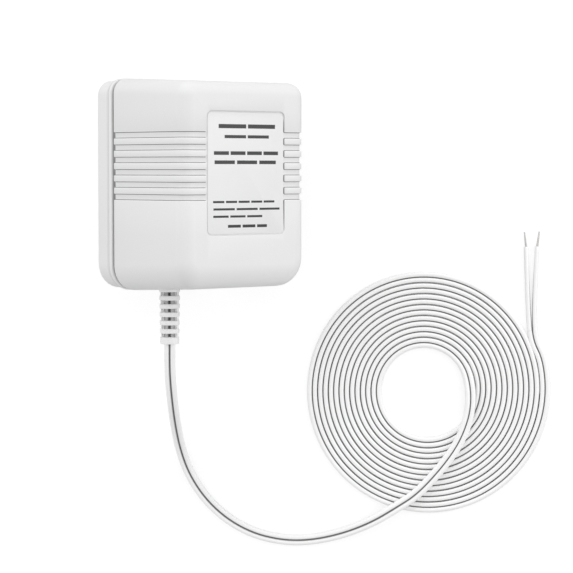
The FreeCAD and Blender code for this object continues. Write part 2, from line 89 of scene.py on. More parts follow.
# Rear cover and the joint between the halves
rear_setback = 0.5 * mm
rear_edge = 1.5 * mm
rear_wall_depth = 5.9 * mm
slope_end = 7.1 * mm
lip_end = 8.6 * mm
shell_start = 9.8 * mm
tongue_end = 12.2 * mm
rim = 1.1 * mm
tongue_inset = 1.15 * mm
cover_soft_degrees = 40
# Painted shade down in the joint, and in thin lines along both ends of the slope
joint_depth_shade = 0.15
slope_line = 0.35 * mm
slope_shades = ((rear_wall_depth, 0.05), (slope_end, 0.09))
core_post = 5.0 * mm
post_across = 17.5 * mm
post_heights = (-20.5 * mm, 22.5 * mm)
core_back = 14.0 * mm
core_front = 29.0 * mm

# Grip grooves and the label in its recess
groove_count = 6
groove_width = 1.85 * mm
rib_width = 1.84 * mm
groove_top = 15.76 * mm
groove_depth = 0.6 * mm
rows_height = groove_count * groove_width + (groove_count - 1) * rib_width
rib_end = 0.45 * mm
# Painted shade in the grooves and at the rib ends by the label, and a painted highlight on the ridges where
# negative
rib_shade = 1.0
rib_end_shade = 0.6
ridge_light = -1.0
label_half_width = 14.8 * mm
label_half_height = 18.4 * mm
label_middle = 3.5 * mm
label_corner = 1.8 * mm
recess_corner_steps = 5
label_margin = 0.4 * mm
label_thickness = 0.25 * mm
# Rows of bars on the label: middle height, thickness, start and end across, bars per width, gap in each
label_rows = (
    (0.885, 0.034, 0.12, 0.9, 2.6, 0.06),
    (0.8, 0.026, 0.2, 0.82, 3.3, 0.07),
    (0.665, 0.03, 0.06, 0.94, 4.6, 0.1),
    (0.59, 0.03, 0.06, 0.9, 3.4, 0.1),
    (0.265, 0.018, 0.05, 0.88, 6.0, 0.12),
    (0.205, 0.018, 0.05, 0.95, 3.3, 0.08),
    (0.145, 0.018, 0.05, 0.73, 4.5, 0.1),
    (0.065, 0.024, 0.24, 0.78, 5.2, 0.12),
)

# Plug blades
blade_spacing = 12.7 * mm
blade_width = 6.35 * mm
blade_thickness = 1.5 * mm
blade_length = 16.5 * mm
blade_middle = 4.0 * mm
blade_tip_slope = 1.2 * mm
blade_tip_step = 0.4 * mm
blade_hole = 3.1 * mm
blade_hole_from_tip = 4.7 * mm
blade_slot_clearance = 0.05 * mm
blade_soft_edge = 0.12 * mm
blade_soft_degrees = 30
shoulder_width = 9.0 * mm
shoulder_depth = 1.5 * mm
blade_tail_width = 3.0 * mm
blade_tail_length = 1.7 * mm

# Strain relief
relief_across = -1.2 * mm
relief_depth = 5.9 * mm
relief_length = 17.4 * mm
relief_root_radius = 3.25 * mm
relief_end_radius = 2.95 * mm
relief_neck_radius = 2.85 * mm
relief_flange_radius = 3.6 * mm
relief_flange = 1.5 * mm
relief_groove = 0.3 * mm
sleeve_sides = 64
sleeve_soft_edge = 0.13 * mm
sleeve_soft_degrees = 40
window_count = 6
window_first = 1.25 * mm
window_pitch = 2.57 * mm
window_height = 1.2 * mm
window_web = 0.35 * mm
window_floor = 0.4 * mm
bore_clearance = 0.05 * mm
bore_round = 0.98

# Flat twin cord and its coil
cord_width = 3.4 * mm
cord_thickness = 1.7 * mm
half_cord = cord_thickness / 2
cord_steps = 5
wire_arc_degrees = 150
wire_arc_step_degrees = 20
# Painted shade in the groove between the wires, by angle round each wire, from 0 to 1
groove_gaps = {150: 0.8, 130: 0.05}
coil_centre = Vector((79.0, -15.8, 0)) * mm
coil_start_radius = 13.9 * mm
coil_pitch = cord_width
coil_turns = 7
coil_stretch = 1.018
coil_step_degrees = 15
# The cord's start inside the strain relief and its straight run out of it, in millimetres
root_reach = 21.1
lead_straight = 9.4
# The lead from the end of the strain relief on, in millimetres: across, along, and height above the table
lead_route = (
    (0.3, -18.3, 18.0),
    (0.4, -26.6, 11.0),
    (1.1, -35.0, 4.5),
    (3.6, -43.5, 1.4),
    (8.8, -51.5, 0.9),
    (15.8, -57.9, 0.85),
    (24.1, -62.3, 0.85),
    (32.4, -64.2, 0.85),
    (39.1, -64.5, 0.85),
    (46.3, -63.6, 0.9),
    (54.5, -61.3, 1.6),
    (62.8, -57.6, 2.7),
    (69.9, -53.2, 2.65),
    (76.4, -49.0, 2.6),
    (83.7, -41.0, 2.6),
    (88.6, -34.2, 2.6),
    (91.2, -28.8, 2.6),
    (93.0, -23.1, 2.6),
    (93.4, -17.3, 2.35),
)
# Heights in millimetres at which the cord comes down from the coil's top into its first turn
coil_entry_heights = (1.6, 1.0)

# How much painted shade the cord gets in the sleeve, in its groove and in the gaps between turns. The
# lead's and the split's fades count steps of the path
sleeve_shade = 0.42
sleeve_gap = 0.8
lead_gap = 0.4
lead_fade = 20
split_fade = 4
entry_shade = 0.55
entry_fade = 1.6 * mm
# In half thicknesses of the cord: the groove's half width, where a side's shade starts and over what width
# it deepens, the height from which the cord lies on others, and where a split wire's inner side starts
groove_half = 0.4
side_start = 1.63
side_range = 0.29
raised = 1.2
inner_start = 0.5

# Split wires and their bare ends
tail_end_share = 0.57
split_bend = Vector((-0.6, 6.0, 0)) * mm
split_reach = 26.5 * mm
split_spread_a = -1.3 * mm
split_spread_b = 0.5 * mm
wire_steps = 12
wire_sides = 20
wire_end_scale = 0.8
wire_rim = 0.15 * mm
bare_length = 4.7 * mm
bare_radius = 0.38 * mm
bare_lean_degrees = 4.5
strand_count = 7
strands_across = 3
strand_points = 25
strand_sides = 8
strand_turn_degrees = 60
strand_twist_degrees = 400
strand_taper = 0.5

# Finishes
white = (1, 1, 1, 1)
patch_scale = 35
gloss_spread = 0.1
streak_gloss_spread = 0.15
grain_detail = 3
grain_strength = 0.25
# How strongly the shade attribute paints a highlight on ridges and shade in hollows, and the darkest that
# shade gets
ridge_gain = -2.0
hollow_gain = 4.0
hollow_most = 0.85
# Sockets of a colour mix by number, because their names repeat for each kind of data
mix_share = 0
mix_first = 6
mix_second = 7
mix_result = 2

# Camera
camera_place = Vector((77.56, 13.72, 700.0)) * mm
camera_aim = Vector((23.91, -23.93, 0.0)) * mm
camera_lens = 138.7
camera_sensor = 36

# Light and table
world_light = 0.72
light_size = 0.6
# The place and the power of each soft light
lights = {
    "right light": ((0.9, 0.2, 0.35), 2.6),
    "left light": ((-0.85, 0.2, 0.35), 1.9),
    "top light": ((0.05, 0.95, 0.38), 3.0),
}
table_size = 4
table_roughness = 0.9
table_white = 0.35
table_glow = 0.72

mounts = {mount["name"]: mount for mount in frame["record"]["mounts"]}
housing_out = -Vector(mounts["plug_blades"]["axis"])
housing_up = y_axis
housing_across = housing_up.cross(housing_out)
lay_down = Matrix((housing_across, housing_up, housing_out)).transposed().to_4x4()
lay_down.translation = Vector(mounts["plug_blades"]["pos_m"]) - housing_up * blade_middle
relief_low, relief_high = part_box("strain_relief")
cord_exit = Vector(((relief_low.x + relief_high.x) / 2, relief_low.y, (relief_low.z + relief_high.z) / 2))


# Modelling helpers

def hold(piece):
    """Makes a piece the one that the next operators act on."""
    bpy.ops.object.select_all(action="DESELECT")
    piece.select_set(True)
    bpy.context.view_layer.objects.active = piece


@contextmanager
def editing(piece):
    """Edit mode on one piece."""
    hold(piece)
    bpy.ops.object.mode_set(mode="EDIT")
    yield
    bpy.ops.object.mode_set(mode="OBJECT")


def put_in_scene(name, data):
    """A new object in the scene around its data."""
    made = bpy.data.objects.new(name, data)
    bpy.context.scene.collection.objects.link(made)
    return made


def primitive(name, add, **settings):
    """A new basic shape, with its place, turn and size made part of its mesh."""
    bpy.ops.object.select_all(action="DESELECT")
    add(**settings)
    bpy.ops.object.transform_apply(location=True, rotation=True, scale=True)
    bpy.context.object.name = name
    return bpy.context.object


def block(name, low, high):
    """A block between two corners."""
    low = Vector(low)
    high = Vector(high)
    middle = (low + high) / 2
    return primitive(name, bpy.ops.mesh.primitive_cube_add, size=1, location=middle, scale=high - low)


def rod(name, radius, low, high, axis_turn):
    """A round rod between two ends along one axis."""
    low = Vector(low)
    high = Vector(high)
    return primitive(
        name,
        bpy.ops.mesh.primitive_cylinder_add,
        vertices=rod_sides,
        radius=radius,
        depth=(high - low).length,
        location=(low + high) / 2,
        rotation=axis_turn,
    )


def pick(kind, test):
    """Selects the faces or edges of the piece in hand that pass a test."""
    bpy.ops.mesh.select_mode(type=kind)
    bpy.ops.mesh.select_all(action="DESELECT")
    mesh = bmesh.from_edit_mesh(bpy.context.object.data)
    for element in mesh.faces if kind == "FACE" else mesh.edges:
        if test(element):
            element.select_set(True)
    bmesh.update_edit_mesh(bpy.context.object.data)


def ends_of(edge):
    """The two ends of an edge."""
    return edge.verts[0].co, edge.verts[1].co


def runs_out(edge):
    """Whether an edge runs from the rear towards the front."""
    first, last = ends_of(edge)
    return abs(first.z - last.z) > facing * (first - last).length


def faces_front(face):
    """Whether a face looks towards the front."""
    return face.normal.z > facing


def cut_across(axis, distance):
    """A row of edges where a plane across an axis meets the piece in hand."""
    bpy.ops.mesh.select_all(action="SELECT")
    bpy.ops.mesh.bisect(plane_co=axis * distance, plane_no=axis)


def round_picked(radius, steps):
    """Rounds the picked edges."""
    bpy.ops.mesh.bevel(offset=radius, segments=steps, affect="EDGES")


def round_corners(half_size):
    """Rounds the four edges that run from rear to front, the lower ones more."""
    for end, radius in ((1, corner_top), (-1, corner_bottom)):
        pick("EDGE", lambda edge: runs_out(edge) and end * edge.verts[0].co.y > half_size)
        round_picked(radius, round_steps)


def resize(scale, centre):
    """Scales what is picked about a point."""
    bpy.ops.transform.resize(value=scale, center_override=centre)


def sink(depth):
    """Sinks the picked faces evenly into the piece in hand."""
    settings = {"value": -depth, "use_even_offset": True}
    bpy.ops.mesh.extrude_region_shrink_fatten(TRANSFORM_OT_shrink_fatten=settings)


def draw_out(axis, distance, inset=0.0):
    """Insets the picked face and draws it out along an axis."""
    if inset:
        bpy.ops.mesh.inset(thickness=inset)
    bpy.ops.mesh.extrude_region_move(TRANSFORM_OT_translate={"value": tuple(axis * distance)})


def apply_change(piece, kind, **settings):
    """Adds one modifier to a piece and applies it."""
    hold(piece)
    change = piece.modifiers.new(kind.lower(), kind)
    for name, value in settings.items():
        setattr(change, name, value)
    bpy.ops.object.modifier_apply(modifier=change.name)


def combine(piece, operation, *others):
    """Cuts other shapes out of a piece, or joins them to it, and throws them away."""
    for other in others:
        apply_change(piece, "BOOLEAN", operation=operation, object=other, solver="EXACT")
        bpy.data.objects.remove(other)


def soften(piece, width, degrees=soft_degrees):
    """Rounds a piece's sharp edges a little."""
    apply_change(
        piece,
        "BEVEL",
        width=width,
        segments=soft_steps,
        limit_method="ANGLE",
        angle_limit=math.radians(degrees),
        miter_outer="MITER_ARC",
    )


def keep_shade(piece, shade_of):
    """Keeps how much painted shade a piece gets at its edges, or painted highlight where it is negative, as
    an attribute of their points.
    """
    mesh = bmesh.new()
    mesh.from_mesh(piece.data)
    shade = mesh.verts.layers.float.new("shade")
    for edge in mesh.edges:
        amount = shade_of(edge)
        if amount:
            for vertex in edge.verts:
                vertex[shade] = amount
    mesh.to_mesh(piece.data)
    mesh.free()


def finish_piece(piece, material, stands_for, place=None):
    """Lays a piece down, cleans and shades it, and hides the solids it stands for."""
    if place:
        piece.data.transform(place)
    with editing(piece):
        bpy.ops.mesh.select_all(action="SELECT")
        bpy.ops.mesh.remove_doubles(threshold=merge_reach)
        bpy.ops.mesh.dissolve_degenerate(threshold=merge_reach)
    hold(piece)
    bpy.ops.object.shade_smooth_by_angle(angle=math.radians(smooth_degrees))
    piece.data.materials.clear()
    piece.data.materials.append(material)
    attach(piece, "root")
    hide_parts(*stands_for)
    return piece


# Front shell

def front_round(edge):
    """The radius of a front edge, which changes along the corners from the side's to the end's."""
    first, last = ends_of(edge)
    along = last - first
    share = math.atan2(abs(along.x), abs(along.y)) / (math.pi / 2)
    end = front_edge_top if first.y + last.y > 0 else front_edge_bottom
    return front_edge_side + (end - front_edge_side) * share


def tapered_block(name, inset, back):
    """The front half's block with its taper, corners and front rounds, moved inwards by an inset."""
    front = housing_depth - inset
    growth = front_setback * (shell_start - back) / (housing_depth - shell_start)
    wide = half_width + growth - inset
    high = half_height + growth - inset
    front_wide = half_width - front_setback - inset
    front_high = half_height - front_setback - inset
    piece = block(name, (-wide, -high, back), (wide, high, front))
    with editing(piece):
        pick("FACE", faces_front)
        resize((front_wide / wide, front_high / high, 1), (0, 0, front))
        round_corners(half_height / 2)
        mesh = bmesh.from_edit_mesh(piece.data)
        weights = mesh.edges.layers.float.new("bevel_weight_edge")
        for edge in mesh.edges:
            if min(point.z for point in ends_of(edge)) > front - hair:
                edge[weights] = (front_round(edge) - inset) / front_edge_bottom
        bmesh.update_edit_mesh(piece.data)
    apply_change(
        piece,
        "BEVEL",
        width=front_edge_bottom,
        segments=round_steps,
        limit_method="WEIGHT",
        use_clamp_overlap=False,
    )
    return piece


def groove_limits():
    """The lower and upper line of each groove."""
    pitch = groove_width + rib_width
    tops = [groove_top - row * pitch for row in range(groove_count)]
    return [(top - groove_width, top) for top in tops]


def is_sunk(face):
    """Whether a face of the block belongs to a groove or to the label's recess."""
    middle = face.calc_center_median()
    in_groove = any(low < middle.y < high for low, high in groove_limits())
    on_side_or_front = abs(face.normal.y) < sideways and face.normal.z > -sideways
    in_label = abs(middle.x) < label_half_width and abs(middle.y - label_middle) < label_half_height
    return in_groove and on_side_or_front or in_label and faces_front(face)


def is_label_corner(edge):
    """Whether an edge is one of the four corners of the label's recess."""
    ends = ends_of(edge)
    at_side = all(abs(abs(point.x) - label_half_width) < corner_reach for point in ends)
    at_end = all(abs(abs(point.y - label_middle) - label_half_height) < corner_reach for point in ends)
    return at_side and at_end and abs(ends[0].z - ends[1].z) > groove_depth / 2


def groove_shade(edge):
    """Painted shade along the middle of a hollow round, and a painted highlight along a ridge."""
    turn = edge.calc_face_angle_signed() if edge.is_manifold else 0.0
    if abs(turn) < math.radians(hollow_degrees):
        return 0.0
    first, last = ends_of(edge)
    middle = (first + last) / 2
    on_border = abs(abs(middle.x) - label_half_width) < soft_edge or middle.y > groove_top + soft_edge
    in_rows = abs(middle.y - groove_top + rows_height / 2) < rows_height / 2 + soft_edge
    on_rib = in_rows and not on_border
    if turn > 0:
        return ridge_light if on_rib else 0.0
    if on_rib:
        return rib_shade
    return rib_end_shade if in_rows and middle.x > 0 else 0.0


def core_posts(low, high):
    """Four posts that hold the core at its corners."""
    posts = []
    for across in (-post_across, post_across):
        for height in post_heights:
            near = (across - core_post / 2, height - core_post / 2, low)
            far = (across + core_post / 2, height + core_post / 2, high)
            posts.append(block("core_post", near, far))
    return posts


def shell_rebate():
    """The space inside the front half's rim for the rear half's tongue."""
    rebate = block(
        "rebate",
        (rim - half_width, rim - half_height, shell_start - cut_margin),
        (half_width - rim, half_height - rim, tongue_end),
    )
    with editing(rebate):
        round_corners(0)
    return rebate


def relief_tab():
    """The front half's tab, which closes the strain relief's notch down to the neck."""
    tab_half = relief_neck_radius - bore_clearance
    return block(
        "tab",
        (relief_across - tab_half, -half_height, relief_depth + relief_neck_radius + bore_clearance),
        (relief_across + tab_half, -half_height + rim, shell_start + rim),
    )


def make_front_shell(material):
    """The ribbed front half: grooves and recess are sunk into the block together, then it is hollowed."""
    shell = tapered_block("front_shell_moulding", 0, shell_start - block_margin)
    with editing(shell):
        lines = [height for limits in groove_limits() for height in limits]
        lines += [label_middle - label_half_height, label_middle + label_half_height]
        for height in lines:
            cut_across(y_axis, height)
        for side in (-1, 1):
            cut_across(x_axis, side * label_half_width)
            cut_across(x_axis, side * (label_half_width + rib_end))
        pick("FACE", is_sunk)
        sink(groove_depth)
        bpy.ops.mesh.select_all(action="SELECT")
        back = z_axis * shell_start
        bpy.ops.mesh.bisect(plane_co=back, plane_no=z_axis, clear_inner=True, use_fill=True)
        pick("EDGE", is_label_corner)
        round_picked(label_corner, recess_corner_steps)
    soften(shell, soft_edge)
    cavity = tapered_block("cavity", wall, shell_start - cut_margin)
    combine(shell, "DIFFERENCE", cavity, shell_rebate())
    combine(shell, "UNION", relief_tab(), *core_posts(core_front, housing_depth - wall / 2))
    keep_shade(shell, groove_shade)
    return finish_piece(shell, material, ["front_shell"], lay_down)


# Rear cover

def is_on_lip(point):
    """Whether a point lies near the lip's outer edge."""
    corner = corner_top if point.y > 0 else corner_bottom
    past_side = abs(point.x) - half_width + corner
    past_end = abs(point.y) - half_height + corner
    if past_side > 0 and past_end > 0:
        return math.hypot(past_side, past_end) > corner - tongue_inset / 2
    return max(past_side, past_end) > corner - tongue_inset / 2


def joint_shade(edge):
    """Painted shade in the joint, inside the rear cover's lip, and in thin lines along both ends of the
    slope below it.
    """
    ends = ends_of(edge)
    if all(point.z > lip_end - soft_edge and not is_on_lip(point) for point in ends):
        return joint_depth_shade
    for height, shade in slope_shades:
        if all(abs(point.z - height) < hair for point in ends):
            return shade
    return 0.0


def relief_notch():
    """The two shapes that open the lower wall for the strain relief's neck."""
    notch_half = relief_neck_radius + bore_clearance
    outside = -half_height - wall
    inside = -half_height + 2 * wall
    notch_round = rod(
        "notch_round",
        notch_half,
        (relief_across, outside, relief_depth),
        (relief_across, inside, relief_depth),
        (math.pi / 2, 0, 0),
    )
    notch_open = block(
        "notch_open",
        (relief_across - notch_half, outside, relief_depth),
        (relief_across + notch_half, inside, tongue_end + wall),
    )
    return [notch_round, notch_open]


def blade_slots():
    """The shapes that open the rear wall for the two blades."""
    slot_half = blade_thickness / 2 + blade_slot_clearance
    slot_reach = blade_width / 2 + blade_slot_clearance
    slots = []
    for side in (-1, 1):
        across = side * blade_spacing / 2
        near = (across - slot_half, blade_middle - slot_reach, -wall)
        far = (across + slot_half, blade_middle + slot_reach, 2 * wall)
        slots.append(block("blade_slot", near, far))
    return slots


def relief_pad():
    """A thicker stretch of the lower wall round the strain relief's neck."""
    pad_half = relief_root_radius + relief_groove
    return block(
        "relief_pad",
        (relief_across - pad_half, -half_height + wall / 2, relief_depth - pad_half),
        (relief_across + pad_half, -half_height + wall, lip_end),
    )


def make_rear_cover(material):
    """The rear half: wall, sloped lip and tongue, drawn out step by step and hollowed back again."""
    wide = half_width - rear_setback
    high = half_height - rear_setback
    cover = block("rear_cover_moulding", (-wide, -high, 0), (wide, high, rear_wall_depth))
    with editing(cover):
        round_corners(half_height / 2)
        pick("FACE", faces_front)
        draw_out(z_axis, slope_end - rear_wall_depth)
        resize((half_width / wide, half_height / high, 1), (0, 0, slope_end))
        draw_out(z_axis, lip_end - slope_end)
        draw_out(z_axis, tongue_end - lip_end, tongue_inset)
        draw_out(z_axis, wall - tongue_end, wall - tongue_inset)
        pick("EDGE", lambda edge: max(point.z for point in ends_of(edge)) < hair)
        round_picked(rear_edge, small_round_steps)
        for height, _ in slope_shades:
            cut_across(z_axis, height - slope_line)
            cut_across(z_axis, height + slope_line)
    soften(cover, soft_edge, cover_soft_degrees)
    combine(cover, "UNION", relief_pad(), *core_posts(wall / 2, core_back))
    combine(cover, "DIFFERENCE", *relief_notch(), *blade_slots())
    keep_shade(cover, joint_shade)
    return finish_piece(cover, material, ["rear_cover"], lay_down)


# Label and blades

def make_label(material):
    """The thin label in its recess, with a map of its face in label widths and heights."""
    wide = label_half_width - label_margin
    high = label_half_height - label_margin
    floor = housing_depth - groove_depth
    label = block(
        "label_sheet",
        (-wide, label_middle - high, floor),
        (wide, label_middle + high, floor + label_thickness),
    )
    with editing(label):
        pick("EDGE", runs_out)
        round_picked(label_corner - label_margin, small_round_steps)
    soften(label, label_thickness / 4)
    face_map = label.data.uv_layers.new(name="label_face")
    for loop in label.data.loops:
        point = label.data.vertices[loop.vertex_index].co
        across = (point.x + wide) / (2 * wide)
        up = (point.y - label_middle + high) / (2 * high)
        face_map.data[loop.index].uv = (across, up)
    return finish_piece(label, material, ["rating_label"], lay_down)


def make_blade(side, name, node, material):
    """One plug blade: a sloped tip, a hole near it, and the shoulder and tail that hold it inside."""
    across = side * blade_spacing / 2
    half = blade_thickness / 2
    shoulder_end = wall + shoulder_depth
    hole_depth = blade_hole_from_tip - blade_length

    def stretch(label, width, low, high):
        """A stretch of the blade's sheet, of one width."""
        near = (across - half, blade_middle - width / 2, low)
        far = (across + half, blade_middle + width / 2, high)
        return block(label, near, far)

    blade = stretch(name, blade_width, blade_tip_slope - blade_length, wall)
    with editing(blade):
        pick("FACE", lambda face: face.normal.z < -facing)
        draw_out(z_axis, -blade_tip_slope)
        resize(((half - blade_tip_step) / half, 1, 1), (across, blade_middle, -blade_length))
    shoulder = stretch("shoulder", shoulder_width, wall, shoulder_end)
    tail = stretch("tail", blade_tail_width, shoulder_end, shoulder_end + blade_tail_length)
    combine(blade, "UNION", shoulder, tail)
    hole = rod(
        "blade_hole",
        blade_hole / 2,
        (across - 2 * half, blade_middle, hole_depth),
        (across + 2 * half, blade_middle, hole_depth),
        (0, math.pi / 2, 0),
    )
    combine(blade, "DIFFERENCE", hole)
    soften(blade, blade_soft_edge, blade_soft_degrees)
    return finish_piece(blade, material, [node], lay_down)


# Strain relief

def is_ring_groove(face, tops):
    """Whether a side face of the sleeve lies between two rings."""
    height = face.calc_center_median().y
    return abs(face.normal.y) < sideways and any(top - window_height < height < top for top in tops)


def cut_windows(sleeve, tops):
    """Cuts the windows to both faces of the cord."""
    for top in tops:
        middle = top - window_height / 2
        radius = relief_root_radius + (relief_end_radius - relief_root_radius) * -middle / relief_length
        half_window = radius - relief_groove - window_web
        for floor, sky in ((-relief_root_radius, -window_floor), (window_floor, relief_root_radius)):
            window = block("window", (-half_window, top - window_height, floor), (half_window, top, sky))
            combine(sleeve, "DIFFERENCE", window)


def cord_bore():
    """The shape of the cord's way through the sleeve."""
    bore_half = half_cord + bore_clearance
    bore = block(
        "bore",
        (-cord_width / 2 - bore_clearance, -2 * relief_length, -bore_half),
        (cord_width / 2 + bore_clearance, relief_length, bore_half),
    )
    with editing(bore):
        pick("EDGE", lambda edge: abs(ends_of(edge)[0].y - ends_of(edge)[1].y) > relief_length)
        round_picked(bore_round * bore_half, small_round_steps)
    return bore


def make_strain_relief(material):
    """The tapered sleeve: rings and grooves, windows to both faces of the cord, and the collar inside."""
    sleeve = primitive(
        "strain_relief_sleeve",
        bpy.ops.mesh.primitive_cone_add,
        vertices=sleeve_sides,
        radius1=relief_root_radius,
        radius2=relief_end_radius,
        depth=relief_length,
        location=(0, -relief_length / 2, 0),
        rotation=(math.pi / 2, 0, 0),
    )
    tops = [-window_first - row * window_pitch for row in range(window_count)]
    flange_growth = relief_flange_radius / relief_neck_radius
    with editing(sleeve):
        for top in tops:
            cut_across(y_axis, top)
            cut_across(y_axis, top - window_height)
        pick("FACE", lambda face: is_ring_groove(face, tops))
        sink(relief_groove)
        pick("FACE", lambda face: face.normal.y > facing and face.calc_center_median().y > -hair)
        draw_out(y_axis, wall, relief_root_radius - relief_neck_radius)
        draw_out(y_axis, 0)
        resize((flange_growth, 1, flange_growth), (0, wall, 0))
        draw_out(y_axis, relief_flange)
    soften(sleeve, sleeve_soft_edge, sleeve_soft_degrees)
    cut_windows(sleeve, tops)
    combine(sleeve, "DIFFERENCE", cord_bore())
    place = Matrix.Translation(cord_exit + Vector((0, relief_length, 0)))
    return finish_piece(sleeve, material, ["strain_relief"], place)


# Cord

def spline_points(points, steps):
    """Points read along a smooth spline with the given control points."""
    curve = bpy.data.curves.new("route", "CURVE")
    curve.dimensions = "3D"
    curve.resolution_u = steps
    spline = curve.splines.new("NURBS")
    spline.points.add(len(points) - 1)
    for point, place in zip(spline.points, points):
        point.co = (*place, 1)
    spline.order_u = 3
    spline.use_endpoint_u = True
    carrier = put_in_scene("route", curve)
    bpy.context.view_layer.update()
    line = bpy.data.meshes.new_from_object(carrier)
    read = [vertex.co.copy() for vertex in line.vertices]
    bpy.data.objects.remove(carrier)
    bpy.data.meshes.remove(line)
    return read


def table_point(point):
    """A point given from the end of the strain relief, with its height above the table."""
    return Vector((cord_exit.x + point.x, cord_exit.y + point.y, point.z))


def coil_points():
    """Control points of the coil's turns, worked out from its pitch."""
    reach = 1 / math.cos(math.radians(coil_step_degrees / 2))
    last = coil_turns * 360 // coil_step_degrees + 1
    points = []
    for number in range(1, last + 1):
        degrees = number * coil_step_degrees
        turn = math.radians(degrees)
        radius = (coil_start_radius + coil_pitch * degrees / 360) * reach
        height = half_cord
        if number <= len(coil_entry_heights):
            height = coil_entry_heights[number - 1] * mm
        offset = Vector((radius * math.cos(turn), coil_stretch * radius * math.sin(turn), height))
        points.append(table_point(coil_centre + offset))
    return points


def tail_points():
    """Control points from the coil's end to the split."""
    bare_end = mounts["stripped_end_a"]
    first_end = Vector(bare_end["pos_m"]) - Vector(bare_end["axis"]) * bare_length / 2
    split = first_end + Vector((half_cord - split_spread_a, -split_reach, 0))
    return [split - split_bend * tail_end_share, split]


def cord_route():
    """Control points of the whole cord, from inside the strain relief to the split."""
    straight = (root_reach, root_reach / 2, 0, -lead_straight)
    points = [cord_exit + Vector((0, reach, 0)) * mm for reach in straight]
    points += [table_point(Vector(point) * mm) for point in lead_route]
    return points + coil_points() + tail_points()


def twin_section():
    """The cord's outline, two round wires side by side: across, up, and how much painted shade it gets in
    the groove.
    """
    right = []
    for degrees in range(-wire_arc_degrees, wire_arc_degrees + 1, wire_arc_step_degrees):
        turn = math.radians(degrees)
        gap = groove_gaps.get(abs(degrees), 0.0)
        right.append((half_cord * (1 + math.cos(turn)), half_cord * math.sin(turn), gap))
    left = [(-across, -up, gap) for across, up, gap in right]
    return right + left


def round_section(radius, sides):
    """The outline of one round wire."""
    turns = [2 * math.pi * number / sides for number in range(sides)]
    return [(radius * math.cos(turn), radius * math.sin(turn), 0.0) for turn in turns]


def tube(name, path, section, side_gap=None, end_scale=1.0):
    """A closed tube along a path, with its width kept level and the painted shade of its gaps kept as an
    attribute.
    """
    mesh = bmesh.new()
    gaps = mesh.verts.layers.float.new("gap")
    rings = []
    for number, point in enumerate(path):
        heading = (path[min(number + 1, len(path) - 1)] - path[max(number - 1, 0)]).normalized()
        wide = heading.cross(z_axis).normalized()
        thick = wide.cross(heading)
        scale = 1 + (end_scale - 1) * number / (len(path) - 1)
        ring = []
        for across, up, gap in section:
            vertex = mesh.verts.new(point + (wide * across + thick * up) * scale)
            vertex[gaps] = max(gap, side_gap(number, across)) if side_gap else gap
            ring.append(vertex)
        rings.append(ring)
    for first, second in zip(rings, rings[1:]):
        for number in range(len(section)):
            after = (number + 1) % len(section)
            mesh.faces.new((first[number], first[after], second[after], second[number]))
    mesh.faces.new(rings[0][::-1])
    mesh.faces.new(rings[-1])
    bmesh.ops.recalc_face_normals(mesh, faces=mesh.faces)
    data = bpy.data.meshes.new(name)
    mesh.to_mesh(data)
    mesh.free()
    return put_in_scene(name, data)


def make_cord(material):
    """The flat twin cord: out of the strain relief, down to the table, over the coil and round it."""
    path = spline_points(cord_route(), cord_steps)
    centre = table_point(coil_centre)
    lead_end = cord_steps * len(lead_route)
    inner_turn = coil_start_radius + coil_pitch
    outer_turn = coil_start_radius + coil_pitch * (coil_turns - 1)
    past_coil = coil_start_radius + coil_pitch * (coil_turns + 2)

    def side_gap(number, across):
        """Painted shade on the cord in the sleeve, in the lead's groove, and where turns lie side by side.
        """
        point = path[number]
        in_groove = abs(across) < groove_half * half_cord
        if point.y > cord_exit.y and point.x < cord_exit.x + cord_width:
            return sleeve_gap if in_groove else sleeve_shade
        if in_groove:
            return lead_gap * min(1.0, max(0.0, (lead_end - number) / lead_fade))
        reach = (point - centre).length
        is_free = reach > outer_turn if across > 0 else reach < inner_turn
        if is_free or reach > past_coil:
            return 0.0
        fade = min(1.0, (len(path) - 1 - number) / split_fade)
        if point.z > raised * half_cord:
            fade = entry_shade * min(1.0, max(0.0, inner_turn - reach) / entry_fade)
        return max(0.0, (abs(across) / half_cord - side_start) / side_range) * fade

    cord = tube("twin_cord", path, twin_section(), side_gap)
    replaced = ["cord_root", "cord_lead", "cord_coil", "cord_tail"]
    finish_piece(cord, material, replaced)


def wire_points(side, spread):
    """Control points of one split wire, from the split to the end of its insulation."""
    across = split_bend.cross(z_axis).normalized()
    split = tail_points()[-1] + across * side * half_cord
    return [split, split + split_bend, split + Vector((spread, split_reach, 0))]


def is_rim(edge):
    """Whether an edge borders a tube's flat end, the only face with more than four corners."""
    return any(len(face.verts) > 4 for face in edge.link_faces)


def make_wire_end(letter, side, spread, material):
    """One split wire in its insulation."""
    path = spline_points(wire_points(side, spread), wire_steps)

    def inner_gap(number, across):
        """Painted shade on the side towards the other wire, less and less from the split on."""
        apart = (path[number] - path[0]).length / split_reach
        inwards = max(0.0, -side * across / half_cord - inner_start) / (1 - inner_start)
        return inwards * max(0.0, 1 - apart)

    section = round_section(half_cord, wire_sides)
    wire = tube("split_wire_" + letter, path, section, inner_gap, wire_end_scale)
    with editing(wire):
        pick("EDGE", lambda edge: is_rim(edge) and edge.verts[0].co.y > path[-1].y - half_cord)
        round_picked(wire_rim, soft_steps)
    return finish_piece(wire, material, ["wire_end_" + letter])


